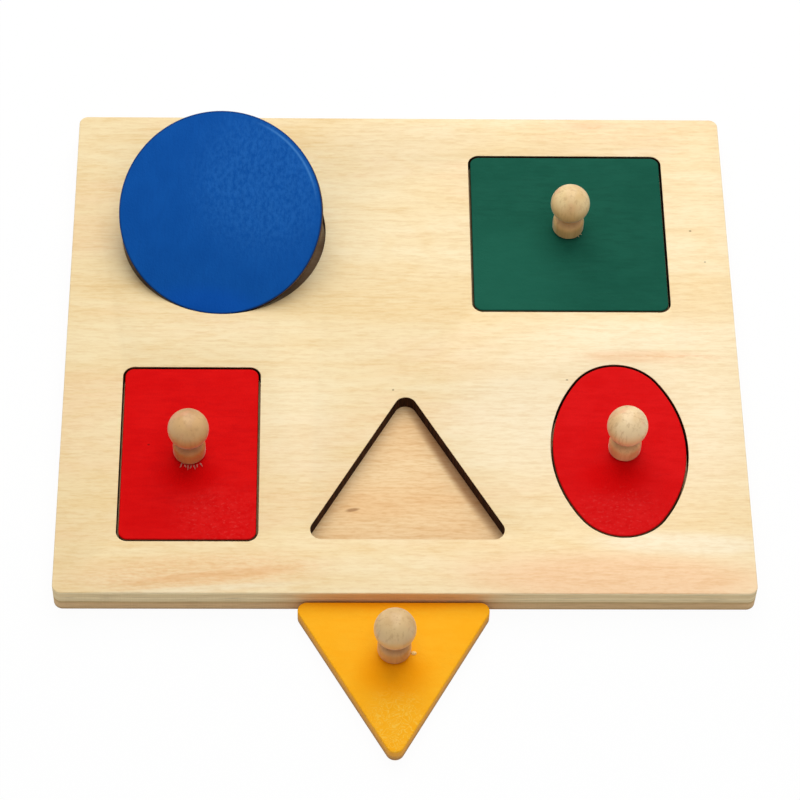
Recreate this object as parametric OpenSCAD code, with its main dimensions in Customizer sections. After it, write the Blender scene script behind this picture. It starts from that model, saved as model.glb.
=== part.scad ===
// Shape puzzle: a board of two plies with five cut-outs, and five lift-out pieces with turned knobs.
// Millimetres. The origin is the middle of the board's underside, +X to the right, +Y to the back, +Z up.
// Three pieces sit in the board. The round one leans upside down in its cut-out, on its knob and its rim.
// The triangle lies on the table in front of the board, so its cut-out is empty.

/* [Board] */
// Thickness of the upper ply, which has the cut-outs and gives the pieces their thickness
frame_t = 7.5; // [6.5:0.5:10]
// Thickness of the lower ply, which is the floor of the recesses
base_t = 6; // [3:0.5:9]
// Corner radius of the board
board_r = 4; // [2:0.5:12]
// Width of the bevel that is sanded on the board's outer edges
board_bevel = 0.8; // [0.4:0.1:1.2]

/* [Round cut-out] */
// Diameter of the round cut-out
circle_d = 93; // [80:1:100]
// Wood between the round cut-out and the left edge
circle_side = 22.5; // [18:0.5:30]
// Wood between the round cut-out and the back edge
circle_back = 21.1; // [18:0.1:30]
// Wood between the round cut-out and the rectangular one in front of it
circle_web = 29.2; // [22:0.1:36]
// Gap all round between the disc, which fits closer than the other pieces, and its cut-out
circle_gap = 0.5; // [0.4:0.1:1]

/* [Square cut-out] */
// Side of the square cut-out
square_w = 90; // [80:1:100]
// Wood between the square cut-out and the right edge
square_side = 28.2; // [18:0.1:34]
// Wood between the square cut-out and the back edge
square_back = 22.3; // [18:0.1:30]
// How far the square's knob stands behind the middle of its piece
square_knob_shift = 2.5; // [0:0.5:6]

/* [Rectangle cut-out] */
// Width of the rectangular cut-out
rect_w = 61; // [50:1:66]
// Length of the rectangular cut-out, front to back
rect_length = 90.9; // [80:0.1:100]
// Wood between the rectangular cut-out and the left edge
rect_side = 26; // [18:0.5:30]
// Wood between the rectangular cut-out and the front edge
rect_front = 25.8; // [18:0.1:32]
// Wood between the rectangular cut-out and the triangle's sharp corner
rect_web = 18.6; // [16:0.1:26]

/* [Triangle cut-out] */
// Side of the triangular cut-out, measured to its sharp corners
tri_side_length = 91; // [80:1:98]
// Wood between the triangular cut-out and the front edge
tri_front = 27; // [18:0.5:32]
// Wood between the triangle's sharp corner and the oval cut-out
tri_web = 17.7; // [16:0.1:26]
// How far the triangle's knob stands from the middle of its piece, towards the side opposite its tip
tri_knob_shift = 1.5; // [0:0.5:6]

/* [Oval cut-out] */
// Width of the oval cut-out
oval_w = 60.5; // [52:0.5:66]
// Length of the oval cut-out, front to back
oval_length = 90.9; // [80:0.1:100]
// Radius of the oval's two ends
oval_end_r = 22.7; // [20:0.1:24]
// Wood between the oval cut-out and the right edge
oval_side = 25.2; // [18:0.1:30]
// Wood between the oval cut-out and the front edge
oval_front = 28; // [18:0.5:34]
// How far the oval's knob stands right of the middle of its piece
oval_knob_shift = 2; // [0:0.5:6]

/* [Pieces] */
// Corner radius of the square, rectangular and triangular cut-outs
corner_r = 5; // [3:0.5:8]
// Gap all round between a piece and its cut-out
fit_gap = 1; // [0.4:0.1:1.4]
// Width of the bevel that is sanded on both edges of a piece
piece_bevel = 0.5; // [0.3:0.1:0.8]

/* [Knobs] */
// Diameter of the ball
ball_d = 17.8; // [15:0.1:20]
// Height of the knob above its piece
knob_h = 27.4; // [25:0.1:32]
// Diameter of the collar under the ball
collar_d = 14.2; // [13:0.1:17]
// Diameter of the neck between collar and ball
neck_d = 9.4; // [8:0.1:10.5]
// Radius of the collar's upper edge
shoulder_r = 4.5; // [2.4:0.1:4.8]
// Radius of the collar's lower edge
foot_r = 2; // [1:0.1:3]
// Radius of the hollow between collar and ball
cove_r = 1.4; // [1:0.1:1.8]
// Diameter of the tenon under the collar
tenon_d = 6; // [4:0.1:8]
// Length of the tenon
tenon_length = 5; // [3:0.1:5.5]
// Glue space round the tenon and under its end
glue_gap = 0.1; // [0.05:0.01:0.3]

/* [Loose pieces] */
// Direction in which the leaning disc is lowest, turned from +X
lean_turn = -98; // [-180:1:180]
// Gap between the leaning disc's foremost point and the wall of its cut-out
lean_gap = 0.9; // [0.7:0.1:2]
// Gap under the leaning disc's rim and knob
rest_gap = 0.2; // [0.1:0.05:0.3]
// Gap between the loose triangle and the board's front edge
tri_away = 0.8; // [0.4:0.1:6]
// Middle of the loose triangle, left of the board's middle
tri_left = 5.1; // [0:0.1:60]

/* [Hidden] */
$fn = 96;

// Overrun of every cut past the face that it opens
over = 1;
// How far a straight side lies inside the tangent of its corner arc, so that the two cross cleanly
seam = 0.002;
// The pieces are sawn from the same sheet as the upper ply
piece_t = frame_t;

// The front row of cut-outs makes the board's width, and the left column makes its depth
board_w = rect_side + rect_w + rect_web + tri_side_length + tri_web + oval_w + oval_side;
board_d = circle_back + circle_d + circle_web + rect_length + rect_front;

// Middles of the cut-outs
circle_pos = [-board_w / 2 + circle_side + circle_d / 2, board_d / 2 - circle_back - circle_d / 2];
square_pos = [board_w / 2 - square_side - square_w / 2, board_d / 2 - square_back - square_w / 2];
rect_pos = [-board_w / 2 + rect_side + rect_w / 2, -board_d / 2 + rect_front + rect_length / 2];
oval_pos = [board_w / 2 - oval_side - oval_w / 2, -board_d / 2 + oval_front + oval_length / 2];
// From the middle of an even-sided triangle to its sides
tri_in_r = tri_side_length / (2 * sqrt(3));
tri_pos = [-board_w / 2 + rect_side + rect_w + rect_web + tri_side_length / 2,
    -board_d / 2 + tri_front + tri_in_r];

// Centres of the corner arcs, counter-clockwise, round the middle of each outline
function box_centres(w, l, r) =
    [for (s = [[-1, -1], [1, -1], [1, 1], [-1, 1]]) [s[0] * (w / 2 - r), s[1] * (l / 2 - r)]];
tri_centres = [for (a = [90, 210, 330]) 2 * (tri_in_r - corner_r) * [cos(a), sin(a)]];
board_centres = box_centres(board_w, board_d, board_r);
square_centres = box_centres(square_w, square_w, corner_r);
rect_centres = box_centres(rect_w, rect_length, corner_r);

// The oval is drawn with four arcs that meet in line: two ends and two sides
oval_end_y = oval_length / 2 - oval_end_r;
oval_side_r = (oval_end_y * oval_end_y + oval_w * oval_w / 4 - oval_end_r * oval_end_r)
    / (oval_w - 2 * oval_end_r);
oval_side_x = oval_side_r - oval_w / 2;

// Heights and tangent arcs of the knob, above the face of its piece
ball_r = ball_d / 2;
collar_r = collar_d / 2;
ball_z = knob_h - ball_r;
cove_x = neck_d / 2 + cove_r;
cove_z = ball_z - sqrt(pow(ball_r + cove_r, 2) - pow(cove_x, 2));
shoulder_x = collar_r - shoulder_r;
shoulder_z = cove_z - sqrt(pow(shoulder_r + cove_r, 2) - pow(cove_x - shoulder_x, 2));
// Where the hollow touches the shoulder and the ball
low_touch = [shoulder_x, shoulder_z]
    + shoulder_r / (shoulder_r + cove_r) * [cove_x - shoulder_x, cove_z - shoulder_z];
high_touch = [0, ball_z] + ball_r / (ball_r + cove_r) * [cove_x, cove_z - ball_z];

// Lean of the disc: the ball and the rim's lower edge stand on the floor together
disc_r = circle_d / 2 - circle_gap;
rim_arm = disc_r - piece_bevel;
lean = asin(ball_r / norm([rim_arm, ball_z])) + atan2(ball_z, rim_arm);
lean_out = circle_d / 2 - lean_gap - disc_r * cos(lean) - (piece_t - piece_bevel) * sin(lean);
lean_up = base_t + rest_gap + ball_z * cos(lean) + ball_r;

// Section of a flat part's lower edge, from inside the part to its bevelled side
module edge_section(r, h, ease, inside) {
    polygon(concat([[-inside, 0]], ease > 0 ? [[r - ease, 0], [r, ease]] : [[r, 0]], [[r, h], [-inside, h]]));
}

// Flat outline with straight sides and an arc of radius r round each centre
module round_cornered(centres, r) {
    n = len(centres);
    polygon([for (i = [0:n - 1])
        let (way = centres[(i + 1) % n] - centres[i], out = [way[1], -way[0]] / norm(way))
            each [centres[i] + (r - seam) * out, centres[(i + 1) % n] + (r - seam) * out]]);
    for (c = centres) translate(c) circle(r = r);
}

// The same outline as a plate with a bevelled lower edge: a core, a slab along each side, a turned corner
module eased_half(centres, r, h, ease) {
    n = len(centres);
    linear_extrude(h) polygon(centres);
    for (i = [0:n - 1]) {
        next = centres[(i + 1) % n];
        way = next - centres[i];
        translate(next) rotate(atan2(way[1], way[0]) - 90) rotate([90, 0, 0])
            linear_extrude(norm(way)) edge_section(r - seam, h, ease, r / 2);
        translate(centres[i]) rotate_extrude() edge_section(r, h, ease, 0);
    }
}

// A flat part is two halves, the second one turned over, which overlap a little in the middle
function half_deep(t) = t / 2 + seam;
module both_halves(t) {
    children(0);
    translate([0, 0, t]) mirror([0, 0, 1]) children($children - 1);
}

module eased_plate(centres, r, t, low, high) {
    both_halves(t) {
        eased_half(centres, r, half_deep(t), low);
        eased_half(centres, r, half_deep(t), high);
    }
}

module eased_round(r, t, ease) {
    both_halves(t) rotate_extrude() edge_section(r, half_deep(t), ease, 0);
}

// Wedge of the oval that one side arc closes, seen from that arc's centre, with its tip cut off
module oval_wedge() {
    tip = [oval_side_x, oval_end_y] / 2;
    wide = [oval_side_x, oval_end_y] * 2;
    polygon([[tip[0], -tip[1]], [wide[0], -wide[1]], [2 * oval_w, -wide[1]],
        [2 * oval_w, wide[1]], wide, tip]);
}

module oval_outline(inset) {
    for (s = [-1, 1]) {
        translate([0, s * oval_end_y]) circle(r = oval_end_r - inset);
        translate([s * oval_side_x, 0]) mirror([s > 0 ? 1 : 0, 0]) intersection() {
            circle(r = oval_side_r - inset - seam);
            oval_wedge();
        }
    }
}

module eased_oval(inset, t, ease) {
    for (s = [-1, 1]) {
        translate([0, s * oval_end_y, 0]) eased_round(oval_end_r - inset, t, ease);
        translate([s * oval_side_x, 0, 0]) mirror([s > 0 ? 1 : 0, 0, 0]) intersection() {
            eased_round(oval_side_r - inset - seam, t, ease);
            linear_extrude(t) oval_wedge();
        }
    }
}

// Blind hole for a knob's tenon, in a piece that stands on z = 0
module tenon_hole() {
    depth = tenon_length + glue_gap;
    translate([0, 0, piece_t - depth]) cylinder(h = depth + over, d = tenon_d + 2 * glue_gap);
}

// Half section of the collar and neck: rounded foot, straight side, round shoulder, hollow neck
module collar_section() {
    intersection() {
        square([collar_r, ball_z]);
        union() {
            square([collar_r - foot_r, shoulder_z]);
            translate([collar_r - foot_r, foot_r]) circle(r = foot_r);
            translate([0, foot_r]) square([collar_r, shoulder_z - foot_r]);
            translate([shoulder_x, shoulder_z]) circle(r = shoulder_r);
            difference() {
                polygon([[0, shoulder_z], [shoulder_x, shoulder_z], low_touch,
                    [cove_x, cove_z], high_touch, [0, ball_z]]);
                translate([cove_x, cove_z]) circle(r = cove_r);
            }
        }
    }
}

// Turned knob: ball, hollow neck, collar and tenon in one piece of wood
module knob() {
    translate([0, 0, ball_z]) sphere(r = ball_r);
    rotate_extrude() collar_section();
    translate([0, 0, -tenon_length]) cylinder(h = tenon_length + foot_r, d = tenon_d);
}

// Places of the pieces, each with its underside on z = 0 before it is placed
module lean_place() {
    translate([circle_pos[0], circle_pos[1], 0]) rotate(lean_turn) translate([lean_out, 0, lean_up])
        rotate([0, 180 + lean, 0]) translate([0, 0, -piece_t]) children();
}
module square_place() { translate([square_pos[0], square_pos[1], base_t]) children(); }
module rect_place() { translate([rect_pos[0], rect_pos[1], base_t]) children(); }
module oval_place() { translate([oval_pos[0], oval_pos[1], base_t]) children(); }
module loose_place() {
    translate([-tri_left, -board_d / 2 - tri_away - tri_in_r + fit_gap, 0]) rotate(180) children();
}

module frame_plate() {
    color("#f2dcb0") translate([0, 0, base_t]) difference() {
        eased_plate(board_centres, board_r, frame_t, 0, board_bevel);
        translate([0, 0, -over]) linear_extrude(frame_t + 2 * over) {
            translate(circle_pos) circle(d = circle_d);
            translate(square_pos) round_cornered(square_centres, corner_r);
            translate(rect_pos) round_cornered(rect_centres, corner_r);
            translate(tri_pos) round_cornered(tri_centres, corner_r);
            translate(oval_pos) oval_outline(0);
        }
    }
}

module base_plate() {
    color("#e6c193") eased_plate(board_centres, board_r, base_t, board_bevel, 0);
}

module circle_piece() {
    color("#1150a0") lean_place() difference() {
        eased_round(disc_r, piece_t, piece_bevel);
        tenon_hole();
    }
}
module circle_knob() {
    color("#e1c396") lean_place() translate([0, 0, piece_t]) knob();
}

module square_piece() {
    color("#1c5c4a") square_place() difference() {
        eased_plate(square_centres, corner_r - fit_gap, piece_t, piece_bevel, piece_bevel);
        translate([0, square_knob_shift, 0]) tenon_hole();
    }
}
module square_knob() {
    color("#e1c396") square_place() translate([0, square_knob_shift, piece_t]) knob();
}

module rectangle_piece() {
    color("#d6101a") rect_place() difference() {
        eased_plate(rect_centres, corner_r - fit_gap, piece_t, piece_bevel, piece_bevel);
        tenon_hole();
    }
}
module rectangle_knob() {
    color("#e1c396") rect_place() translate([0, 0, piece_t]) knob();
}

module triangle_piece() {
    color("#ffb020") loose_place() difference() {
        eased_plate(tri_centres, corner_r - fit_gap, piece_t, piece_bevel, piece_bevel);
        translate([0, -tri_knob_shift, 0]) tenon_hole();
    }
}
module triangle_knob() {
    color("#e1c396") loose_place() translate([0, -tri_knob_shift, piece_t]) knob();
}

module oval_piece() {
    color("#de1c20") oval_place() difference() {
        eased_oval(fit_gap, piece_t, piece_bevel);
        translate([oval_knob_shift, 0, 0]) tenon_hole();
    }
}
module oval_knob() {
    color("#e1c396") oval_place() translate([oval_knob_shift, 0, piece_t]) knob();
}

frame_plate();
base_plate();
circle_piece();
circle_knob();
square_piece();
square_knob();
rectangle_piece();
rectangle_knob();
triangle_piece();
triangle_knob();
oval_piece();
oval_knob();
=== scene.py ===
# %% [markdown]
# This lesson dresses a wooden shape puzzle: a board of two glued plies with five cut-outs, five painted
# pieces that lift out of it, and a turned knob on each piece. The solids and their places are settled
# already, so the first step loads them. Every new piece is measured from them, and nothing is moved.

# %% Load the solids
import math

import bmesh
import bpy
from mathutils import Matrix, Vector


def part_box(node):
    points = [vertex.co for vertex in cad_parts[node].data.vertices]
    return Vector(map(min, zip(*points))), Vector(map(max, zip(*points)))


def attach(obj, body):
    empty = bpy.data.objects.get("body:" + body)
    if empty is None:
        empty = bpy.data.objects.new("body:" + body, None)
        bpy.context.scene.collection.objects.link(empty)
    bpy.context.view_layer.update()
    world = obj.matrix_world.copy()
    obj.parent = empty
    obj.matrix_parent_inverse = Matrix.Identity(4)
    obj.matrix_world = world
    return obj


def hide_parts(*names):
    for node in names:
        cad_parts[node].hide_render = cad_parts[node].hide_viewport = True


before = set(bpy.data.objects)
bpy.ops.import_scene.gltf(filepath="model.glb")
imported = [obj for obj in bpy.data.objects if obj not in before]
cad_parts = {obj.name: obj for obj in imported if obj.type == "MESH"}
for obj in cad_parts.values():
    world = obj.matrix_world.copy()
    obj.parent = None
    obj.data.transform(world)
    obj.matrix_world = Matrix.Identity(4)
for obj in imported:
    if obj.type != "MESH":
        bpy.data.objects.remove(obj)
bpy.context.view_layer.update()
bpy.ops.object.select_all(action="DESELECT")
print("solids:", ", ".join(sorted(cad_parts)))

# %% [markdown]
# The camera comes first, because every later look is judged through it. The photograph was taken from
# about 56 degrees above the table, a long way off with a long lens, turned and rolled by about two
# degrees. A camera can be placed by hand, but here it is built from these four angles and a distance to
# the point on the board that lies in the middle of the picture, so each number says what it does.

# %% Camera
MM = 0.001
view_height = math.radians(55.63)
view_turn = math.radians(2.52)
view_roll = math.radians(2.27)
view_aim = Vector((-1.4 * MM, -30.7 * MM, 13.5 * MM))
view_distance = 1.377

camera_data = bpy.data.cameras.new("camera")
camera_data.sensor_width = 36
camera_data.lens = 140.2
camera = bpy.data.objects.new("camera", camera_data)
bpy.context.scene.collection.objects.link(camera)
turned = Matrix.Rotation(-view_turn, 4, "Z") @ Matrix.Rotation(math.pi / 2 - view_height, 4, "X")
turned = turned @ Matrix.Rotation(view_roll, 4, "Z")
camera.matrix_world = Matrix.Translation(view_aim + turned @ Vector((0, 0, view_distance))) @ turned
bpy.context.scene.camera = camera
print("camera stands at", [round(v, 3) for v in camera.matrix_world.translation])

# %% [markdown]
# Next come the helpers for materials. A material is a small network of nodes, and typing every link by
# hand would hide the idea. `node` adds one node and fills or links its sockets. `sheet_noise` is the
# pattern behind all wood here: a noise whose space is squeezed across the grain, so that its blobs
# become long streaks. Colours are written as they look on a screen and turned into linear light.

# %% Material helpers
def colour(red, green, blue):
    """A colour as it looks on screen, 0 to 255, as linear light with full cover."""
    shares = [c / 255 for c in (red, green, blue)]
    return [s / 12.92 if s <= 0.04045 else ((s + 0.055) / 1.055) ** 2.4 for s in shares] + [1]


def node(tree, kind, inputs=None, **settings):
    """Adds a shader node; each input is a number, a colour or another node's socket."""
    made = tree.nodes.new("ShaderNode" + kind)
    for key, value in settings.items():
        setattr(made, key, value)
    for key, value in (inputs or {}).items():
        if isinstance(value, bpy.types.NodeSocket):
            tree.links.new(value, made.inputs[key])
        else:
            made.inputs[key].default_value = value
    return made


def new_material(name):
    """An empty material and its node tree."""
    made = bpy.data.materials.new(name)
    made.use_nodes = True
    made.node_tree.nodes.clear()
    return made, made.node_tree


def place_of(tree, place=None):
    """Coordinates of the surface, seen from a piece's own middle and turned as it is turned."""
    seen = node(tree, "TexCoord").outputs["Object"]
    if place is None:
        return seen
    mapping = node(tree, "Mapping", {"Vector": seen}, vector_type="TEXTURE")
    mapping.inputs["Location"].default_value = place.translation
    mapping.inputs["Rotation"].default_value = place.to_euler()
    return mapping.outputs["Vector"]


def sheet_noise(tree, where, stretch, detail=2.0, roughness=0.5, distortion=0.0, shift=(0, 0, 0)):
    """Noise with its own number of blobs per metre along X, Y and Z, as a value about 0.5."""
    mapping = node(tree, "Mapping", {"Vector": where, "Scale": stretch, "Location": shift})
    made = node(tree, "TexNoise", {"Vector": mapping.outputs["Vector"], "Scale": 1.0,
                                   "Detail": detail, "Roughness": roughness, "Distortion": distortion})
    return made.outputs["Fac"]


def between(tree, value, low, high, to_low=0.0, to_high=1.0):
    """Stretches a value from low..high to another range, smoothly and clamped."""
    made = node(tree, "MapRange", {0: value, 1: low, 2: high, 3: to_low, 4: to_high},
                interpolation_type="SMOOTHSTEP")
    return made.outputs[0]


def maths(tree, operation, first, second=0.0):
    """A sum on one or two values; the operation is named as in the Math node."""
    return node(tree, "Math", {0: first, 1: second}, operation=operation).outputs[0]


def mixed(tree, factor, first, second, blend="MIX"):
    """One colour laid over another by a factor."""
    made = node(tree, "Mix", {0: factor, 6: first, 7: second}, data_type="RGBA", blend_type=blend)
    return made.outputs[2]


def bumped(tree, height, distance, strength=1.0, over=None):
    """Relief from a height value; distance is the depth in millimetres."""
    inputs = {"Height": height, "Distance": distance * MM, "Strength": strength}
    if over is not None:
        inputs["Normal"] = over
    return node(tree, "Bump", inputs).outputs["Normal"]


def finish_material(tree, base, roughness, normal, specular, lacquer=0.0, haze=0.0):
    """The surface shader and the output; how strongly it shines is a plain number on its own socket."""
    shader = node(tree, "BsdfPrincipled", {"Base Color": base, "Roughness": roughness,
                                           "Normal": normal, "Specular IOR Level": specular,
                                           "Coat Weight": lacquer, "Coat Roughness": 0.2,
                                           "Sheen Weight": haze, "Sheen Roughness": 0.3})
    node(tree, "OutputMaterial", {"Surface": shader.outputs["BSDF"]})


# %% [markdown]
# Some places differ from the rest. Some are the puzzle's own, such as a pink streak near the back edge
# of the board; others are painted light and shade, such as the sparkles of sheen on the red paint and the
# shadows that the knobs cast. Each is a mark: a soft oval with a place and a reach, inside which a
# pattern lets another tone through. Its core is covered in full, and from there it fades. The list of
# marks is kept with the piece that has them.

# %% Marks
mark_core = 0.35


def whole(tree, where):
    """The pattern of a mark that fills its oval."""
    return 1.0


def oval_mask(tree, where, middle, reach, turn):
    """1 in the middle of an oval and 0 outside; place and reach in millimetres, turn in degrees."""
    scaled = node(tree, "Mapping", {"Vector": where, "Location": (middle[0] * MM, middle[1] * MM, 0),
                                    "Rotation": (0, 0, math.radians(turn)),
                                    "Scale": (reach[0] * MM, reach[1] * MM, 1)}, vector_type="TEXTURE")
    away = node(tree, "VectorMath", {0: scaled.outputs["Vector"]}, operation="LENGTH").outputs["Value"]
    return between(tree, away, 1.0, mark_core)


def marked(tree, where, base, marks):
    """Lays marks over a colour; each is (pattern, middle, reach, turn, tone, share)."""
    for pattern, middle, reach, turn, tone, share in marks:
        seen = maths(tree, "MULTIPLY", oval_mask(tree, where, middle, reach, turn), pattern(tree, where))
        base = mixed(tree, maths(tree, "MULTIPLY", seen, share), base, tone)
    return base


# %% [markdown]
# The board is pale wood with a faint pattern. Cream, tan and a little pink drift into each other along
# the grain, and the colour turns darker and yellower towards the left end. Contour lines of a slow noise
# close into the loops of sawn wood. Over them lie fine fibres, which make the warm mottling that is seen
# from a step away. The floor of the recesses is browner and has bolder streaks, so the function takes the
# colours, the strength of the streaks and the marks.

# %% Board wood
def dashes(tree, where):
    """Short dense strokes along the grain."""
    return between(tree, sheet_noise(tree, where, (300, 950, 900), detail=2, roughness=0.6,
                                     shift=(1, 6, 0)), 0.38, 0.68)


def patches(tree, where):
    """Broad soft patches along the grain."""
    return between(tree, sheet_noise(tree, where, (20, 130, 100), detail=3, roughness=0.6,
                                     shift=(8, 2, 0)), 0.3, 0.55)


def board_wood(name, pale, tan, pink, stain, streaks, marks):
    """Sanded wood with its grain along X; the stain darkens its strokes and fibres."""
    made, tree = new_material(name)
    where = place_of(tree)

    bands = sheet_noise(tree, where, (4, 42, 30), detail=3, roughness=0.6)
    base = mixed(tree, between(tree, bands, 0.36, 0.68, 0, 0.8), pale, tan)
    drift = sheet_noise(tree, where, (10, 36, 20), detail=3, roughness=0.55, shift=(3, 1, 0))
    base = mixed(tree, between(tree, drift, 0.48, 0.7, 0, 0.6), base, pink)

    slow = sheet_noise(tree, where, (4.5, 17, 20), detail=1.6, roughness=0.45, shift=(0.7, 0.2, 0))
    wave = maths(tree, "SINE", maths(tree, "MULTIPLY", slow, 95.0))
    base = mixed(tree, between(tree, wave, 0.3, 1.0, 0, 0.25), base, tan)

    flakes = sheet_noise(tree, where, (80, 420, 400), detail=2.5, roughness=0.6, shift=(4, 5, 0))
    base = mixed(tree, between(tree, flakes, 0.5, 0.74, 0, 0.4), base, pale)
    base = marked(tree, where, base, marks)

    strokes = sheet_noise(tree, where, (48, 560, 500), detail=3, roughness=0.65)
    base = mixed(tree, between(tree, strokes, 0.42, 0.72, 0, streaks), base, stain, blend="MULTIPLY")
    fibres = sheet_noise(tree, where, (210, 1050, 1000), detail=2, roughness=0.6, shift=(0, 5, 0))
    base = mixed(tree, between(tree, fibres, 0.4, 0.7, 0, streaks), base, stain, blend="MULTIPLY")

    across = node(tree, "SeparateXYZ", {"Vector": where}).outputs["X"]
    tint = mixed(tree, between(tree, across, -0.17, 0.15), colour(244, 240, 228), colour(255, 253, 249))
    base = mixed(tree, 1.0, base, tint, blend="MULTIPLY")

    normal = bumped(tree, strokes, 0.12, 0.4)
    normal = bumped(tree, fibres, 0.1, 0.3, over=normal)
    rough = between(tree, strokes, 0.3, 0.7, 0.55, 0.66)
    finish_material(tree, base, rough, normal, 0.12)
    return made


# %% [markdown]
# Where the saw or the laser went through, the plies show. The outer edges are stacks of thin veneers:
# the colour follows the height, wobbled a little by noise, and a dark glue line parts the two plies.
# The walls of the cut-outs are scorched nearly black, with fine marks that run up and down.

# %% Sawn edges and scorched walls
def layered(tree, height, layers, blur):
    """Colours one above another; layers are (height in mm, colour) from the bottom up."""
    base = layers[0][1]
    for level, tone in layers[1:]:
        base = mixed(tree, between(tree, height, (level - blur) * MM, (level + blur) * MM), base, tone)
    return base


def veneer_edge(name, layers, blur=0.2, place=None, marks=()):
    """Edge of a stack of veneers."""
    made, tree = new_material(name)
    where = place_of(tree, place)
    axes = node(tree, "SeparateXYZ", {"Vector": where})
    wobble = sheet_noise(tree, where, (22, 22, 60), detail=2)
    height = maths(tree, "ADD", axes.outputs["Z"], between(tree, wobble, 0.2, 0.8, -0.2 * MM, 0.2 * MM))
    base = layered(tree, height, layers, blur)
    fibres = sheet_noise(tree, where, (90, 90, 1600), detail=3, roughness=0.65)
    base = mixed(tree, between(tree, fibres, 0.45, 0.75, 0, 0.3), base, colour(120, 90, 58))
    saw = sheet_noise(tree, where, (1400, 1400, 45), detail=2, shift=(2, 0, 0))
    base = mixed(tree, between(tree, saw, 0.52, 0.78, 0, 0.12), base, colour(220, 196, 152))
    base = marked(tree, where, base, marks)
    normal = bumped(tree, saw, 0.15, 0.5)
    finish_material(tree, base, 0.75, normal, 0.1)
    return made


def scorched_wall(name):
    """Wall of a cut-out, burnt brown by the cut."""
    made, tree = new_material(name)
    where = place_of(tree)
    marks = sheet_noise(tree, where, (900, 900, 60), detail=3, roughness=0.6)
    cloud = sheet_noise(tree, where, (45, 45, 90), detail=2, shift=(1, 2, 3))
    base = mixed(tree, between(tree, marks, 0.35, 0.75), colour(34, 14, 6), colour(74, 40, 20))
    base = mixed(tree, between(tree, cloud, 0.5, 0.8, 0, 0.35), base, colour(104, 66, 38))
    finish_material(tree, base, 0.8, bumped(tree, marks, 0.1, 0.6), 0.1)
    return made


# %% [markdown]
# The faces of the pieces are rolled with a satin paint. It covers the wood, but the grain still shows as
# short faint streaks, and the roller leaves a fine stipple like orange peel. Marks hold the rest: a dark
# speck, a fine crackle near the tip of the triangle, and painted light and shade, which is sheen and
# glints on dimpled patches and shadow where a knob or the board's edge shades a piece. The same function
# makes all five, with its own colours and marks for each.

# %% Paint
def sparkles(tree, where):
    """Tiny separate points, used for painted glints."""
    specks = sheet_noise(tree, where, (600, 850, 800), detail=1.5, shift=(0, 0, 7))
    return between(tree, specks, 0.54, 0.72)


def pebbles(tree, where):
    """The dimples of a rolled coat, which the marks lighten into a painted sheen."""
    return between(tree, sheet_noise(tree, where, (380, 560, 500), detail=3, roughness=0.6,
                                     shift=(5, 0, 0)), 0.3, 0.7)


def crackle(tree, where):
    """Thin wavy lines."""
    slow = sheet_noise(tree, where, (230, 290, 200), detail=1.5, distortion=0.8, shift=(2, 2, 0))
    return between(tree, maths(tree, "SINE", maths(tree, "MULTIPLY", slow, 45.0)), 0.3, 1.0)


def grain_lines(tree, where):
    """Faint strokes where the grain shows through."""
    return between(tree, sheet_noise(tree, where, (110, 560, 500), detail=2.5,
                                     shift=(0, 3, 0)), 0.46, 0.7)


def satin_paint(name, plain, deep, marks, place, sheen=0.03):
    """Roller paint on wood; marks are placed round the piece's middle, which is what place says."""
    made, tree = new_material(name)
    where = place_of(tree, place)
    cloud = sheet_noise(tree, where, (60, 90, 80), detail=3, roughness=0.6, shift=(4, 0, 0))
    base = mixed(tree, between(tree, cloud, 0.3, 0.72, 0, 0.7), plain, deep)
    streaks = sheet_noise(tree, where, (120, 600, 600), detail=2.5, roughness=0.6)
    base = mixed(tree, between(tree, streaks, 0.42, 0.7, 0, 0.55), base, deep)
    base = marked(tree, where, base, marks)

    stipple = sheet_noise(tree, where, (800, 1000, 1000), detail=2, roughness=0.55)
    normal = bumped(tree, streaks, 0.1, 0.4)
    normal = bumped(tree, stipple, 0.3, 0.4, over=normal)
    rough = between(tree, cloud, 0.3, 0.7, 0.6, 0.7)
    finish_material(tree, base, rough, normal, sheen)
    return made


# %% [markdown]
# A knob is turned from a dowel, so its grain runs up and down. Streaks squeezed round the axis show on
# the sides and become end-grain dots on the crown, which is what real turned wood does. Below the crown
# the wood is painted darker and warmer down to the neck, and darker still in the neck: painted shade.
# Knobs come from different dowels, so each has its own tone.

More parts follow.
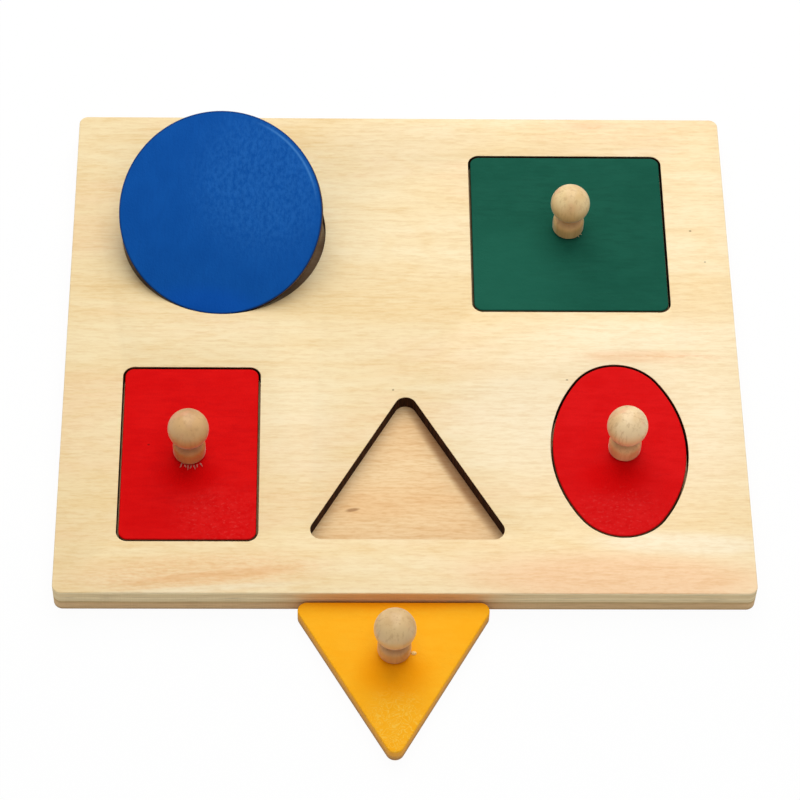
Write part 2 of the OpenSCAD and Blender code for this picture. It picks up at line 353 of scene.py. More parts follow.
# %% Knob wood
def turned_wood(name, pale, deep, place, low_shade=0.7):
    """Turned wood with its grain along the knob's own axis; low_shade sets how strongly painted shade
    darkens it below the crown.
    """
    made, tree = new_material(name)
    where = place_of(tree, place)
    height = node(tree, "SeparateXYZ", {"Vector": where}).outputs["Z"]
    cloud = sheet_noise(tree, where, (80, 80, 30), detail=2, shift=(place.translation.x * 40, 0, 0))
    base = mixed(tree, between(tree, cloud, 0.35, 0.7), pale, deep)
    streaks = sheet_noise(tree, where, (700, 700, 60), detail=2.5, roughness=0.6,
                          shift=(place.translation.x * 90, 3, 0))
    base = mixed(tree, between(tree, streaks, 0.48, 0.72, 0, 0.34), base, colour(176, 128, 78))
    blush = sheet_noise(tree, where, (150, 180, 70), detail=1, shift=(place.translation.y * 70, 1, 2))
    base = mixed(tree, between(tree, blush, 0.62, 0.8, 0, 0.4), base, colour(232, 160, 120))

    # Painted shade: the wood darkens and warms from the crown down, and darkens most in the neck under the
    # ball.
    crown_z = 23 * MM
    neck_z = 13 * MM
    painted_low_shade = between(tree, height, crown_z, neck_z, 0, low_shade)
    base = mixed(tree, painted_low_shade, base, colour(242, 198, 136), blend="MULTIPLY")
    painted_neck_shade = maths(tree, "MULTIPLY", between(tree, height, 7 * MM, 10 * MM),
                   between(tree, height, 16 * MM, 12 * MM))
    base = mixed(tree, maths(tree, "MULTIPLY", painted_neck_shade, 0.5), base, colour(180, 150, 96), blend="MULTIPLY")

    rings = sheet_noise(tree, where, (60, 60, 1800), detail=1)
    normal = bumped(tree, rings, 0.1, 0.25)
    normal = bumped(tree, streaks, 0.12, 0.25, over=normal)
    finish_material(tree, base, between(tree, streaks, 0.3, 0.7, 0.42, 0.5), normal, 0.3, lacquer=0.35,
                    haze=0.35)
    return made


# %% [markdown]
# Now the modelling helpers. Every flat part here has an outline of arcs joined by straight sides, so the
# outline is drawn as on paper: a point is spun round the centre of the first arc, its end is extruded to
# the start of the next arc, and so on until it closes. A circle with moved quarters would do for the
# square, but only this way also draws the triangle, the oval and the half section of the knob. Corners
# are drawn in coarse steps and long curves in fine ones. Points closer than `same_spot` become one.

# %% Modelling helpers
same_spot = 1e-6
coarse = math.radians(7.5)
fine = math.radians(3)
crease = math.radians(60)
smooth_below = math.radians(30)


def select_only(piece):
    """Selects one object and nothing else, and makes it the active one."""
    bpy.ops.object.select_all(action="DESELECT")
    piece.select_set(True)
    bpy.context.view_layer.objects.active = piece


def copy_of(pattern, name):
    """A copy of an object, with its own mesh."""
    select_only(pattern)
    bpy.ops.object.duplicate()
    piece = bpy.context.object
    piece.name = name
    return piece


def weld():
    """Merges all points that lie on each other."""
    bpy.ops.mesh.select_all(action="SELECT")
    bpy.ops.mesh.remove_doubles(threshold=same_spot)


def start_point(name, at):
    """A new mesh with one vertex: a tiny plane merged at its middle."""
    bpy.ops.object.select_all(action="DESELECT")
    bpy.ops.mesh.primitive_plane_add(size=MM, location=at)
    piece = bpy.context.object
    piece.name = name
    bpy.ops.object.transform_apply(location=True, rotation=True, scale=True)
    bpy.ops.object.mode_set(mode="EDIT")
    bpy.ops.mesh.select_mode(type="VERT")
    bpy.ops.mesh.select_all(action="SELECT")
    bpy.ops.mesh.merge(type="CENTER")
    return piece


def pick_point(piece, at):
    """Selects only the vertex that lies nearest to a place."""
    cage = bmesh.from_edit_mesh(piece.data)
    bpy.ops.mesh.select_all(action="DESELECT")
    nearest = min(cage.verts, key=lambda v: (v.co - at).length)
    nearest.select = True
    bmesh.update_edit_mesh(piece.data)


def arc_point(arc, angle, axis):
    """Place on an arc; angles turn from +X about Z, or from +Z about Y."""
    centre, radius = arc[0], arc[1]
    if axis == "Z":
        return centre + radius * Vector((math.cos(angle), math.sin(angle), 0))
    return centre + radius * Vector((math.sin(angle), 0, math.cos(angle)))


def draw_arcs(piece, arcs, axis="Z", step=coarse, close=True):
    """Spins each arc from the last point, and extrudes straight to the next arc.

    The spin operator turns against the right-hand rule, so its angle is the arc's with the sign changed.
    """
    turning = Vector((0, 0, 1)) if axis == "Z" else Vector((0, 1, 0))
    for i, arc in enumerate(arcs):
        centre, radius, begin, end = arc
        pick_point(piece, arc_point(arc, begin, axis))
        steps = max(2, math.ceil(abs(end - begin) / step))
        bpy.ops.mesh.spin(steps=steps, angle=begin - end, center=centre, axis=turning)
        if i + 1 == len(arcs) and not close:
            return
        here = arc_point(arc, end, axis)
        following = arcs[(i + 1) % len(arcs)]
        gap = arc_point(following, following[2], axis) - here
        if gap.length > same_spot:
            pick_point(piece, here)
            bpy.ops.mesh.extrude_vertices_move(TRANSFORM_OT_translate={"value": gap})


def corner_arcs(centres, radius):
    """Arcs round the corners of a convex outline whose corner centres go counter-clockwise."""
    arcs = []
    for i, centre in enumerate(centres):
        before = centre - centres[i - 1]
        after = centres[(i + 1) % len(centres)] - centre
        begin = math.atan2(-before.x, before.y)
        turn = (math.atan2(-after.x, after.y) - begin) % (2 * math.pi)
        arcs.append((centre, radius, begin, begin + turn))
    return arcs


def block(name, arcs, thickness, step=coarse):
    """A flat block: the outline is drawn, filled and extruded upwards."""
    piece = start_point(name, arc_point(arcs[0], arcs[0][2], "Z"))
    draw_arcs(piece, arcs, step=step)
    weld()
    bpy.ops.mesh.edge_face_add()
    bpy.ops.mesh.extrude_region_move(TRANSFORM_OT_translate={"value": (0, 0, thickness)})
    bpy.ops.mesh.select_all(action="SELECT")
    bpy.ops.mesh.normals_make_consistent(inside=False)
    bpy.ops.object.mode_set(mode="OBJECT")
    return piece


def soften(piece, wanted, width, segments=4):
    """Rounds the level sharp edges whose middle passes the test."""
    select_only(piece)
    bpy.ops.object.mode_set(mode="EDIT")
    bpy.ops.mesh.select_mode(type="EDGE")
    bpy.ops.mesh.select_all(action="DESELECT")
    cage = bmesh.from_edit_mesh(piece.data)
    for edge in cage.edges:
        middle = (edge.verts[0].co + edge.verts[1].co) / 2
        level = abs(edge.verts[0].co.z - edge.verts[1].co.z) < same_spot
        if level and edge.calc_face_angle(0) > crease and wanted(middle):
            edge.select = True
    bmesh.update_edit_mesh(piece.data)
    bpy.ops.mesh.bevel(offset=width, segments=segments, affect="EDGES", clamp_overlap=False)
    bpy.ops.object.mode_set(mode="OBJECT")


def cut(piece, cutter):
    """Takes one block out of another with a Boolean modifier, and deletes the cutter."""
    select_only(piece)
    modifier = piece.modifiers.new("cut", "BOOLEAN")
    modifier.operation = "DIFFERENCE"
    modifier.solver = "EXACT"
    modifier.object = cutter
    bpy.ops.object.modifier_apply(modifier=modifier.name)
    bpy.data.objects.remove(cutter)


def shade(piece):
    """Smooth shading that keeps the sharper edges."""
    select_only(piece)
    bpy.ops.object.shade_smooth_by_angle(angle=smooth_below)


def settle(piece, place):
    """Puts a piece that was made at the origin in its place, and bakes the place into its mesh."""
    select_only(piece)
    piece.matrix_world = place
    bpy.ops.object.transform_apply(location=True, rotation=True, scale=True)


def coat(piece, materials, choose=lambda middle, normal: 0):
    """Gives each face one of the materials, by its middle and its normal, or all of them the first."""
    for made in materials:
        piece.data.materials.append(made)
    for face in piece.data.polygons:
        face.material_index = choose(face.center, face.normal)


def hand_in(piece, body, slot, *nodes):
    """Lets a finished piece ride on its body, in place of its plain solid."""
    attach(piece, body)
    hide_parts(*nodes)
    print(piece.name, len(piece.data.vertices), "points,", len(piece.data.polygons), "faces")


def over_solid(node_name, height=None):
    """Place above the middle of a solid, at the solid's own foot if no height is given."""
    low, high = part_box(node_name)
    foot = low.z if height is None else height
    return Matrix.Translation(((low.x + high.x) / 2, (low.y + high.y) / 2, foot))


# %% [markdown]
# The sizes come from the solids. A cut-out has no solid of its own, so its place is read from the points
# of the board's upper ply that lie well inside the outline: a window round each hole gives its box.

# %% Sizes from the solids
board_low, board_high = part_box("base_plate")[0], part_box("frame_plate")[1]
joint_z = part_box("frame_plate")[0].z
top_t = board_high.z - joint_z
board_r = 4 * MM
corner_r = 5 * MM
fit_gap = 1 * MM
circle_gap = 0.5 * MM
piece_r = corner_r - fit_gap
windows = {"round": ((0.04, 0.45), (0.5, 0.95)), "square": ((0.55, 0.95), (0.5, 0.95)),
           "rectangle": ((0.04, 0.32), (0.05, 0.5)), "triangle": ((0.33, 0.68), (0.05, 0.5)),
           "oval": ((0.68, 0.95), (0.05, 0.5))}


def cutout_box(x_range, y_range):
    """Box of the board's points inside a window, given as shares of the board's width and depth."""
    size = board_high - board_low
    points = [v.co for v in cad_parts["frame_plate"].data.vertices
              if x_range[0] < (v.co.x - board_low.x) / size.x < x_range[1]
              and y_range[0] < (v.co.y - board_low.y) / size.y < y_range[1]]
    low = Vector((min(p.x for p in points), min(p.y for p in points), joint_z))
    high = Vector((max(p.x for p in points), max(p.y for p in points), board_high.z))
    return low, high


holes = {label: cutout_box(*window) for label, window in windows.items()}
for label, hole in holes.items():
    print(label, "hole", [round(v / MM, 2) for v in hole[1] - hole[0]], "mm")


# %% [markdown]
# Four kinds of outline serve all pieces and cut-outs. All but the circle are worked out from a box, so
# the piece and its hole come from the same function with a different box.

# %% Outlines
def box_arcs(low, high, radius):
    """Rounded rectangle that fills a box."""
    x0, x1, y0, y1 = low.x + radius, high.x - radius, low.y + radius, high.y - radius
    return corner_arcs([Vector((x, y, low.z)) for x, y in ((x0, y0), (x1, y0), (x1, y1), (x0, y1))],
                       radius)


def triangle_arcs(low, high, radius, tip):
    """Even-sided triangle that fills a box's width; tip is 1 to point back, -1 to point forward."""
    half = (high.x - low.x) / 2 - radius
    middle_x = (low.x + high.x) / 2
    flat_y = low.y + radius if tip > 0 else high.y - radius
    corners = [Vector((middle_x - tip * half, flat_y, low.z)),
               Vector((middle_x + tip * half, flat_y, low.z)),
               Vector((middle_x, flat_y + tip * half * math.sqrt(3), low.z))]
    return corner_arcs(corners, radius)


def round_arcs(centre, radius):
    """A full circle."""
    return [(centre, radius, 0, 2 * math.pi)]


def oval_arcs(low, high, end_radius):
    """Oval of four arcs that meet in line: two ends and two flatter sides."""
    middle = Vector(((low.x + high.x) / 2, (low.y + high.y) / 2, low.z))
    half_w, half_l = (high.x - low.x) / 2, (high.y - low.y) / 2
    end_y = half_l - end_radius
    side_radius = (end_y ** 2 + half_w ** 2 - end_radius ** 2) / (2 * (half_w - end_radius))
    side_x = side_radius - half_w
    lean = math.atan2(end_y, side_x)
    return [(middle + Vector((-side_x, 0, 0)), side_radius, -lean, lean),
            (middle + Vector((0, end_y, 0)), end_radius, lean, math.pi - lean),
            (middle + Vector((side_x, 0, 0)), side_radius, math.pi - lean, math.pi + lean),
            (middle + Vector((0, -end_y, 0)), end_radius, math.pi + lean, 2 * math.pi - lean)]


# %% [markdown]
# The upper ply is a rounded block with five holes. The cutters are blocks of the same kind, a little
# taller than the ply, and a Boolean modifier takes them out. The outer rim is sanded round, and the rims
# of the holes only lose their sharpness. Then each face gets its material by where it looks: upwards is
# the clean veneer, outwards the stacked edge, and inside a hole the scorched wall. How far round a rim
# the veneer comes is `veneer_reach`, the least Z of a face's normal.

# %% Upper ply
edge_r = 0.5 * MM
hole_edge_r = 0.25 * MM
over = 2 * MM
oval_end_r = 22.7 * MM
veneer_reach = 0.35

upper_low = Vector((board_low.x, board_low.y, joint_z))
upper_ply = block("upper_ply", box_arcs(upper_low, board_high, board_r), top_t)
round_low, round_high = holes["round"]
round_r = (round_high.x - round_low.x) / 2
round_middle = (round_low + round_high) / 2
round_middle.z = joint_z
cutter_outlines = [round_arcs(round_middle, round_r),
                   box_arcs(*holes["square"], corner_r),
                   box_arcs(*holes["rectangle"], corner_r),
                   triangle_arcs(*holes["triangle"], corner_r, 1),
                   oval_arcs(*holes["oval"], oval_end_r)]
for outline in cutter_outlines:
    lowered = [(arc[0] - Vector((0, 0, over)), *arc[1:]) for arc in outline]
    cut(upper_ply, block("cutter", lowered, top_t + 2 * over, step=fine))


def on_outline(p):
    """True on the board's own outline, false at the holes."""
    inset = 5 * MM
    return (p.x < board_low.x + inset or p.x > board_high.x - inset
            or p.y < board_low.y + inset or p.y > board_high.y - inset)


soften(upper_ply, lambda p: p.z > board_high.z - MM and on_outline(p), edge_r)
soften(upper_ply, lambda p: p.z > board_high.z - MM and not on_outline(p), hole_edge_r, segments=2)
shade(upper_ply)

wood_cream = colour(255, 242, 214)
wood_pink = colour(252, 214, 174)
wood_orange = colour(242, 190, 136)
wood_dark = colour(120, 92, 62)
board_marks = [(whole, (95, -35), (100, 78), 0, wood_cream, 0.55),
               (whole, (46, -46), (44, 36), 0, wood_cream, 0.5),
               (whole, (-48, -44), (28, 44), 0, wood_cream, 0.4),
               (whole, (2, 118), (56, 15), 0, wood_cream, 0.4),
               (patches, (91, 125.5), (17, 4), 0, wood_pink, 0.7),
               (patches, (106, -7), (44, 5.5), -1, wood_pink, 0.6),
               (dashes, (115, -6.5), (40, 1.4), -1, wood_orange, 0.4),
               (whole, (92, -123), (90, 19), -1.5, wood_pink, 0.9),
               (dashes, (92, -123), (80, 14), -1.5, wood_orange, 0.2),
               (whole, (118, -105), (50, 8), -2, wood_cream, 0.85),
               (whole, (-92, -120), (76, 13), 3, wood_pink, 0.4),
               (patches, (-84, -122), (58, 4), 7, wood_orange, 0.55),
               (dashes, (-88, -120), (70, 12), 4, wood_orange, 0.35),
               (whole, (-88, -128), (62, 2.2), 4, wood_cream, 0.7),
               (whole, (133.2, 64.0), (0.8, 0.6), 0, wood_dark, 0.7),
               (whole, (138.9, 46.2), (0.7, 0.5), 0, wood_dark, 0.6),
               (whole, (73, -19.6), (0.8, 0.5), 0, wood_dark, 0.7),
               (whole, (-4.4, -25.3), (0.7, 0.7), 0, wood_dark, 0.6)]
top_veneer = board_wood("top_veneer", colour(255, 238, 201), colour(248, 221, 171),
                        colour(253, 224, 186), colour(240, 226, 204), 0.36, board_marks)
ply_layers = [(0, colour(196, 160, 116)), (1.2, colour(222, 188, 142)), (4.6, colour(208, 174, 128)),
              (5.7, colour(196, 166, 116)), (6.4, colour(230, 208, 164)), (8.4, colour(238, 218, 176)),
              (9.6, colour(230, 206, 160)), (12.4, colour(244, 226, 184))]
# Painted light: an orange glow on the board's front edge behind the yellow triangle, where light bounces
# off its paint.
painted_yellow_glow = [(whole, (-5, -130), (60, 12), 0, colour(218, 138, 40), 0.35)]
board_edge = veneer_edge("board_edge", ply_layers, marks=painted_yellow_glow)
wall = scorched_wall("scorched_wall")
coat(upper_ply, [top_veneer, board_edge, wall],
     lambda p, n: 0 if abs(n.z) > veneer_reach else (1 if on_outline(p) else 2))
hand_in(upper_ply, "board", "top_ply", "frame_plate")

# %% [markdown]
# The lower ply has no holes. Its upper face is the floor of the recesses, and its lower rim is sanded
# like the upper one. The floor shows only in the empty cut-outs.

# %% Lower ply
lower_high = Vector((board_high.x, board_high.y, joint_z))
lower_ply = block("lower_ply", box_arcs(board_low, lower_high, board_r), joint_z - board_low.z)
soften(lower_ply, lambda p: p.z < board_low.z + MM, edge_r)
shade(lower_ply)
# A small dark dash is a real mark. Along the right wall of the triangle's recess the floor is scorched and
# also painted with shade, and the two dark patches in the round recess are a painted shadow of the leaning
# disc.
floor_marks_and_shade = [(whole, (-22.5, -83.5), (4, 1.2), 10, colour(160, 112, 68), 0.7),
               (whole, (22.5, -62.5), (60, 5.5), -60.5, colour(158, 106, 62), 0.75),
               (whole, (-41, 46), (44, 17), 62, colour(92, 62, 36), 0.9),
               (whole, (-118, 46), (26, 13), -55, colour(92, 62, 36), 0.85)]
floor_veneer = board_wood("floor_veneer", colour(255, 226, 182), colour(246, 206, 156),
                          colour(252, 212, 162), colour(232, 212, 184), 0.4, floor_marks_and_shade)
coat(lower_ply, [floor_veneer, board_edge], lambda p, n: 0 if abs(n.z) > veneer_reach else 1)
hand_in(lower_ply, "board", "floor_ply", "base_plate")

# %% [markdown]
# The five pieces are blocks from the same sheet. Both rims are rounded by sanding, and that rounding is
# what catches a thin bright line of light. Faces and rims are painted, the sawn sides are bare, and
# `paint_reach` says how far round a rim the paint comes. The green square is the first: grain shows
# through it, and its front left part is a little paler.

# %% Painted pieces and the green square
rim_r = 0.6 * MM
piece_t = top_t
paint_reach = 0.12


def painted_piece(body, arcs, paint, side, slot, step=coarse, place=None):
    """A flat piece with rounded rims, painted faces and bare sides."""
    piece = block("painted_" + body, arcs, piece_t, step=step)
    soften(piece, lambda p: True, rim_r)
    coat(piece, [paint, side], lambda p, n: 0 if abs(n.z) > paint_reach else 1)
    if place is not None:
        settle(piece, place)
    shade(piece)
    hand_in(piece, body, slot, body + "_piece")
    return piece


side_layers = [(0, colour(146, 110, 76)), (2.4, colour(128, 94, 62)), (4.8, colour(150, 114, 78)),
               (6.6, colour(120, 86, 54))]
square_at = over_solid("square_piece")
square_marks = [(grain_lines, (0, 0), (60, 60), 0, colour(20, 74, 58), 0.35),
                (whole, (-30, -24), (44, 40), 0, colour(32, 100, 80), 0.5)]
square_paint = satin_paint("green_paint", colour(25, 88, 70), colour(21, 80, 63), square_marks, square_at)
square_side = veneer_edge("square_side", side_layers, place=square_at)
painted_piece("square", box_arcs(*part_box("square_piece"), piece_r), square_paint, square_side,
              "green_paint")

# %% [markdown]
# The two red pieces are painted alike. In front of each knob lies a patch of lighter dimples with
# sparkles in it, a painted sheen, and a painted shadow deepens the red where the knob's shadow falls.
# The rectangle also has one dark speck.

# %% Red rectangle and red oval
rectangle_at = over_solid("rectangle_piece")
# Painted sheen: lighter dimples and sparkles in front of the knob. Painted shadow: a deeper red where the
# knob's shadow falls.
rectangle_marks_sheen_and_shade = [(grain_lines, (0, 0), (50, 60), 0, colour(196, 4, 10), 0.35),
                   (pebbles, (14, -32), (28, 24), 0, colour(230, 42, 40), 0.3),
                   (whole, (0, -12), (18, 12), 0, colour(212, 0, 2), 0.8),
                   (sparkles, (12, -34), (24, 18), 0, colour(238, 92, 86), 0.16),
                   (whole, (-18, 4), (0.8, 0.6), 0, colour(110, 8, 8), 0.7)]
rectangle_paint = satin_paint("rectangle_paint", colour(219, 12, 12), colour(208, 6, 8), rectangle_marks_sheen_and_shade,
                              rectangle_at)
rectangle_side = veneer_edge("rectangle_side", side_layers, place=rectangle_at)
painted_piece("rectangle", box_arcs(*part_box("rectangle_piece"), piece_r), rectangle_paint, rectangle_side,
              "red_paint")

oval_at = over_solid("oval_piece")
# Painted sheen: lighter dimples and sparkles in front of the knob. Painted shadow: a deeper red where the
# knob's shadow falls.
oval_marks_sheen_and_shade = [(grain_lines, (0, 0), (50, 60), 0, colour(204, 10, 14), 0.35),
              (pebbles, (-2, -34), (30, 16), 0, colour(232, 44, 42), 0.25),
              (whole, (-3, -15), (20, 13), 0, colour(214, 0, 2), 0.8),
              (sparkles, (-2, -33), (26, 18), 0, colour(238, 92, 86), 0.16)]
oval_paint = satin_paint("oval_paint", colour(220, 18, 20), colour(210, 10, 12), oval_marks_sheen_and_shade, oval_at)
oval_side = veneer_edge("oval_side", side_layers, place=oval_at)
painted_piece("oval", oval_arcs(*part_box("oval_piece"), oval_end_r - fit_gap), oval_paint, oval_side,
              "red_paint", step=fine)

# %% [markdown]
# The yellow triangle lies with its tip to the front. Its paint has crackled finely towards the tip. A
# painted shadow turns it a deeper orange in the knob's shadow and along the flat side, where the board's
# edge shades it. Its sawn edges turn from wood to yellow upwards.

# %% Yellow triangle
triangle_at = over_solid("triangle_piece")
triangle_layers = [(0, colour(184, 140, 94)), (1.8, colour(216, 158, 78)), (3.8, colour(246, 174, 62))]
# Painted shadow: deeper orange in the knob's shadow and along the flat side, where the board's edge shades
# the piece.
triangle_marks_and_shade = [(crackle, (1, -20), (16, 25), 0, colour(255, 212, 90), 0.45),
                  (whole, (0, 1), (21, 16), 0, colour(255, 160, 0), 0.75),
                  (whole, (0, 38), (70, 8), 0, colour(255, 156, 0), 0.75)]
triangle_paint = satin_paint("yellow_paint", colour(255, 182, 36), colour(255, 175, 26), triangle_marks_and_shade,
                             triangle_at)
triangle_side = veneer_edge("triangle_side", triangle_layers, blur=1.2, place=triangle_at)
painted_piece("triangle", triangle_arcs(*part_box("triangle_piece"), piece_r, -1), triangle_paint,
              triangle_side, "yellow_paint")

# %% [markdown]
# The disc is made flat at the origin and then leaned into its place, upside down. It leans where the ball
# of its knob and its lowest rim stand on the recess floor together. Both touch one line, so the lean
# follows from the ball and the disc alone. The face that it shows has a dark edge all round, a painted
# highlight as a short bright arc inside that, and a painted sheen as a broad patch of lighter dimples.
# Its sawn edge is painted darker than those of the other pieces: painted shade, as it lies in its recess.

# %% Leaning disc
ball_r = 8.9 * MM
knob_h = 27.4 * MM
ball_z = knob_h - ball_r
disc_r = round_r - circle_gap
disc_bevel = 0.5 * MM
rim_arm = disc_r - disc_bevel
lean_gap = 0.9 * MM
rest_gap = 0.2 * MM
lean_turn = math.radians(-98)
lean = math.asin(ball_r / math.hypot(rim_arm, ball_z)) + math.atan2(ball_z, rim_arm)
lean_out = round_r - lean_gap - disc_r * math.cos(lean) - (piece_t - disc_bevel) * math.sin(lean)
lean_up = joint_z + rest_gap + ball_z * math.cos(lean) + ball_r
leaning = (Matrix.Translation((round_middle.x, round_middle.y, 0)) @ Matrix.Rotation(lean_turn, 4, "Z")
           @ Matrix.Translation((lean_out, 0, lean_up)) @ Matrix.Rotation(math.pi + lean, 4, "Y"))
disc_at = leaning @ Matrix.Translation((0, 0, -piece_t))


def ring(begin, end):
    """Pattern of a thin ring round the disc's middle, between two radii in millimetres."""
    def pattern(tree, where):
        away = node(tree, "VectorMath", {0: where}, operation="LENGTH").outputs["Value"]
        fade = 0.5 * MM
        inside = between(tree, away, begin * MM - fade, begin * MM + fade)
        return maths(tree, "MULTIPLY", inside, between(tree, away, end * MM + fade, end * MM - fade))
    return pattern


# Painted sheen and highlight: lighter dimples over the upper right and a bright arc inside the rim.
disc_marks_and_sheen = [(pebbles, (16, 18), (44, 42), 0, colour(48, 124, 206), 0.34),
              (ring(43.4, 44.2), (30, 30), (26, 26), 0, colour(90, 160, 226), 0.45),
              (whole, (-44, 0), (14, 34), 0, colour(4, 84, 196), 0.35),
              (ring(45.4, 48), (0, 0), (150, 150), 0, colour(10, 42, 92), 0.8)]
# Painted shade: the disc's sawn edge is darker than the other pieces' edges, as it lies in its recess.
shaded_circle_layers = [(0, colour(70, 50, 34)), (2.4, colour(92, 66, 44)), (4.8, colour(50, 36, 26))]
disc_paint = satin_paint("blue_paint", colour(10, 86, 172), colour(8, 80, 164), disc_marks_and_sheen, disc_at,
                         sheen=0.06)
disc_side = veneer_edge("circle_side", shaded_circle_layers, place=disc_at)
disc = painted_piece("circle", round_arcs(Vector((0, 0, 0)), disc_r), disc_paint, disc_side, "blue_paint",
                     step=fine, place=disc_at)
print("disc leans by", round(math.degrees(lean), 2), "degrees")

# %% [markdown]
# The knob is turned, so it is modelled as a lathe works: half of its section is drawn with arcs in the
# XZ plane, and the section is spun round Z. From the top it is a tiny flat crown, the ball, a hollow
# neck, the shoulder, the straight collar and its rounded foot. It is made once, and each of the five
# knobs is a copy with its own mesh.

# %% Knob
collar_r = 7.1 * MM
neck_r = 4.7 * MM
shoulder_r = 4.5 * MM
foot_r = 2 * MM
cove_r = 1.4 * MM
crown_angle = math.radians(11)
knob_steps = 72

ball_centre = Vector((0, 0, ball_z))
cove_x = neck_r + cove_r
cove_centre = Vector((cove_x, 0, ball_z - math.sqrt((ball_r + cove_r) ** 2 - cove_x ** 2)))
shoulder_x = collar_r - shoulder_r
shoulder_centre = Vector((shoulder_x, 0, cove_centre.z
                          - math.sqrt((shoulder_r + cove_r) ** 2 - (cove_x - shoulder_x) ** 2)))
foot_centre = Vector((collar_r - foot_r, 0, foot_r))


def way(start, end):
    """Angle from +Z towards +X of the line from one centre to another."""
    return math.atan2(end.x - start.x, end.z - start.z)


knob_arcs = [(ball_centre, ball_r, crown_angle, way(ball_centre, cove_centre)),
             (cove_centre, cove_r, way(cove_centre, ball_centre), way(cove_centre, shoulder_centre)),
             (shoulder_centre, shoulder_r, way(shoulder_centre, cove_centre), math.pi / 2),
             (foot_centre, foot_r, math.pi / 2, math.pi)]
knob = start_point("knob", arc_point(knob_arcs[0], crown_angle, "Y"))
draw_arcs(knob, knob_arcs, axis="Y", close=False)
ends = [arc_point(knob_arcs[0], crown_angle, "Y"), arc_point(knob_arcs[-1], math.pi, "Y")]
for end in ends:
    pick_point(knob, end)
    bpy.ops.mesh.extrude_vertices_move(TRANSFORM_OT_translate={"value": (-end.x, 0, 0)})
weld()
bpy.ops.mesh.spin(steps=knob_steps, angle=2 * math.pi, center=(0, 0, 0), axis=(0, 0, 1))
weld()
bpy.ops.mesh.normals_make_consistent(inside=False)
bpy.ops.object.mode_set(mode="OBJECT")
print("knob stands", round(max(v.co.z for v in knob.data.vertices) / MM, 2), "mm high")


# %% [markdown]
# Four knobs stand above the middle of their solids, and the fifth hangs from the leaning disc. Each has
# its own pair of wood tones, and `low_shade` says how strongly painted shade darkens it below the crown.
# When all five copies are made, the knob that served as the pattern is deleted.

# %% Knobs in place
def place_knob(body, place, pale, deep, low_shade=0.7):
    """A copy of the knob on the face of its piece."""
    piece = copy_of(knob, "turned_" + body + "_knob")
    settle(piece, place)
    coat(piece, [turned_wood(piece.name + "_wood", pale, deep, place, low_shade)])
    shade(piece)
    hand_in(piece, body, "turned_wood", body + "_knob")


face_z = joint_z + piece_t
place_knob("square", over_solid("square_knob", face_z),
           colour(240, 214, 158), colour(222, 184, 126), low_shade=0.4)
place_knob("rectangle", over_solid("rectangle_knob", face_z),
           colour(216, 172, 116), colour(198, 148, 94))
place_knob("oval", over_solid("oval_knob", face_z),
           colour(247, 218, 170), colour(228, 190, 138), low_shade=0.5)
place_knob("triangle", over_solid("triangle_knob", piece_t),
           colour(226, 192, 138), colour(204, 164, 108), low_shade=0.5)
place_knob("circle", leaning, colour(232, 204, 158), colour(212, 174, 126))
bpy.data.objects.remove(knob)

# %% [markdown]
# Small faults make the toy real. Where the red rectangle's knob was pressed in, the wood at its front
# foot has torn into a few splinters, which took on some of the red, and three pale ones stand at the
# green square's knob. A splinter is a small block drawn out twice, each time narrower. It is modelled
# once at the origin, pointing along X, and copied as the knob was. Its wood is measured from far below,
# so that it keeps the light tone of a knob's crown and none of the painted shade below it.

# %% Splinters
splinter_w = 0.6 * MM
splinter_sink = 0.1 * MM
draws = [(Vector((0.8, 0.15, 0)) * MM, 0.7), (Vector((0.7, -0.1, 0.1)) * MM, 0.35)]
crown_tone = Matrix.Translation((0, 0, -20 * MM))

bpy.ops.object.select_all(action="DESELECT")
bpy.ops.mesh.primitive_cube_add(size=splinter_w, location=(0, 0, splinter_w / 2))
splinter = bpy.context.object
splinter.name = "splinter"
bpy.ops.object.transform_apply(location=True, rotation=True, scale=True)
bpy.ops.object.mode_set(mode="EDIT")
bpy.ops.mesh.select_mode(type="FACE")
for move, narrowing in draws:
    cage = bmesh.from_edit_mesh(splinter.data)
    bpy.ops.mesh.select_all(action="DESELECT")
    end = max(cage.faces, key=lambda f: f.calc_center_median().x)
    end.select = True
    middle = end.calc_center_median() + move
    bmesh.update_edit_mesh(splinter.data)
    bpy.ops.mesh.extrude_region_move(TRANSFORM_OT_translate={"value": move})
    bpy.ops.transform.resize(value=(1, narrowing, narrowing), center_override=middle)
bpy.ops.object.mode_set(mode="OBJECT")


def add_fault(piece, place, material, body):
    """Settles a small piece and lets it ride on its body."""
    settle(piece, place)
    coat(piece, [material])
    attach(piece, body)
    print(piece.name, len(piece.data.polygons), "faces")


def splinter_place(x, y, turn, stretch):
    """Place on the face of a piece in the board; x and y in millimetres, turn in degrees."""
    return (Matrix.Translation((x * MM, y * MM, face_z - splinter_sink))
            @ Matrix.Rotation(math.radians(turn), 4, "Z") @ Matrix.Diagonal((stretch, 1, 1, 1)))


torn_wood = turned_wood("torn_wood", colour(230, 214, 172), colour(212, 190, 146), crown_tone)
stained_wood = turned_wood("stained_wood", colour(200, 112, 100), colour(180, 84, 78), crown_tone)
red_splinters = [(-96.8, -65.0, -112, 1.1), (-95.4, -65.6, -70, 0.8), (-94.0, -66.0, -96, 1.2),
                 (-92.6, -66.0, -118, 0.9), (-91.4, -65.8, -76, 1.2), (-90.0, -65.4, -100, 0.8),
                 (-88.6, -64.8, -64, 1.0)]
green_splinters = [(81.6, 62.2, -30, 0.9), (81.0, 61.2, -58, 0.8), (81.9, 62.9, 4, 0.6)]
for body, wood, spots in (("rectangle", stained_wood, red_splinters),
                          ("square", torn_wood, green_splinters)):
    for i, spot in enumerate(spots):
        piece = copy_of(splinter, body + "_splinter_" + str(i + 1))
        add_fault(piece, splinter_place(*spot), wood, body)
bpy.data.objects.remove(splinter)

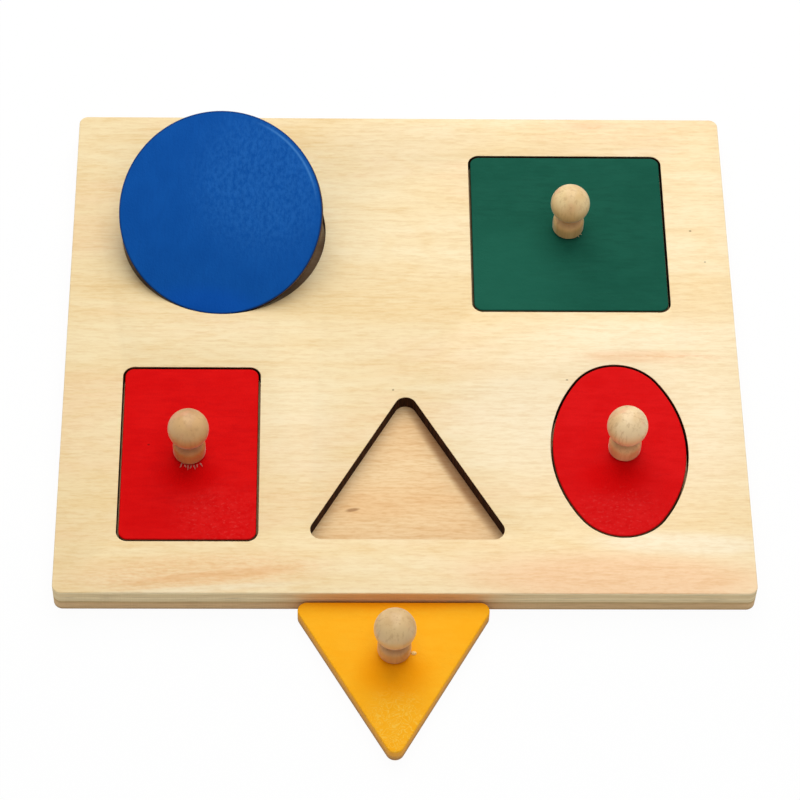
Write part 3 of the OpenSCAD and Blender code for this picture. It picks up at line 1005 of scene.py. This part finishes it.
# %% [markdown]
# Beside the yellow triangle's knob sits a bead of dried glue: half of a ball, wider than it is tall.

# %% Bead of glue
bead_r = 0.9 * MM
bead_stretch = (1.4, 1.1, 0.9, 1)
bead_spot = (3.1 * MM, -155.7 * MM, piece_t)

bpy.ops.object.select_all(action="DESELECT")
bpy.ops.mesh.primitive_uv_sphere_add(segments=20, ring_count=12, radius=bead_r)
bead = bpy.context.object
bead.name = "glue_bead"
bpy.ops.object.mode_set(mode="EDIT")
bpy.ops.mesh.select_all(action="SELECT")
bpy.ops.mesh.bisect(plane_co=(0, 0, 0), plane_no=(0, 0, 1), clear_inner=True, use_fill=True)
bpy.ops.object.mode_set(mode="OBJECT")
shade(bead)
glue = turned_wood("dried_glue", colour(255, 220, 138), colour(252, 204, 110), crown_tone)
add_fault(bead, Matrix.Translation(bead_spot) @ Matrix.Diagonal(bead_stretch), glue, "triangle")

# %% [markdown]
# The table is a plain white floor. The photograph shows pure white round the puzzle, so the floor adds
# its own white where the camera or a reflection sees it, and only a share of it takes light and shadow.
# The same holds for the sky. Nothing of this puts more light on the object.

# %% Floor and sky
floor_size = 12
floor_drop = 0.02 * MM
white_share = 0.95
sky_level = 0.38


def white_to_the_eye(tree):
    """1 where the camera, a reflection or clear glass looks, 0 for light that falls on things."""
    path = node(tree, "LightPath")
    seen = maths(tree, "MAXIMUM", path.outputs["Is Camera Ray"], path.outputs["Is Glossy Ray"])
    return maths(tree, "MAXIMUM", seen, path.outputs["Is Transmission Ray"])


bpy.ops.object.select_all(action="DESELECT")
bpy.ops.mesh.primitive_plane_add(size=floor_size, location=(0, 0, -floor_drop))
floor = bpy.context.object
floor.name = "table"
floor_material, tree = new_material("table_white")
matt = node(tree, "BsdfDiffuse", {"Color": colour(250, 250, 249)})
glow = node(tree, "Emission", {"Color": (1, 1, 1, 1), "Strength": 1.0})
share = maths(tree, "MULTIPLY", white_to_the_eye(tree), white_share)
both = node(tree, "MixShader", {0: share, 1: matt.outputs[0], 2: glow.outputs[0]})
node(tree, "OutputMaterial", {"Surface": both.outputs[0]})
floor.data.materials.append(floor_material)

world = bpy.data.worlds.new("studio")
bpy.context.scene.world = world
world.use_nodes = True
world.node_tree.nodes.clear()
sky_strength = between(world.node_tree, white_to_the_eye(world.node_tree), 0.0, 1.0, sky_level, 1.0)
sky = node(world.node_tree, "Background", {"Color": (1, 1, 1, 1), "Strength": sky_strength})
node(world.node_tree, "OutputWorld", {"Surface": sky.outputs[0]})

# %% [markdown]
# Two soft lights hang over the table. The main one is large, behind the puzzle and about 55 degrees up,
# which is where the short shadows in front of the knobs point from. The second is weaker and hangs
# almost straight above, so that it brightens the tops and leaves the sides in half shade.

# %% Lights
light_aim = Vector((0, -20 * MM, 0))


def soft_light(name, turn, height, distance, size, power):
    """A square lamp aimed at the board; turn goes from the front to the right, in degrees."""
    data = bpy.data.lights.new(name, "AREA")
    data.shape = "SQUARE"
    data.size = size
    data.energy = power
    made = bpy.data.objects.new(name, data)
    bpy.context.scene.collection.objects.link(made)
    a, e = math.radians(turn), math.radians(height)
    away = Vector((math.sin(a) * math.cos(e), -math.cos(a) * math.cos(e), math.sin(e)))
    made.location = light_aim + away * distance
    made.rotation_euler = away.to_track_quat("Z", "Y").to_euler()


soft_light("main_light", turn=176, height=55, distance=1.4, size=1.3, power=13.6)
soft_light("top_light", turn=10, height=80, distance=1.3, size=0.8, power=3.8)
bpy.context.scene.view_settings.view_transform = "Standard"
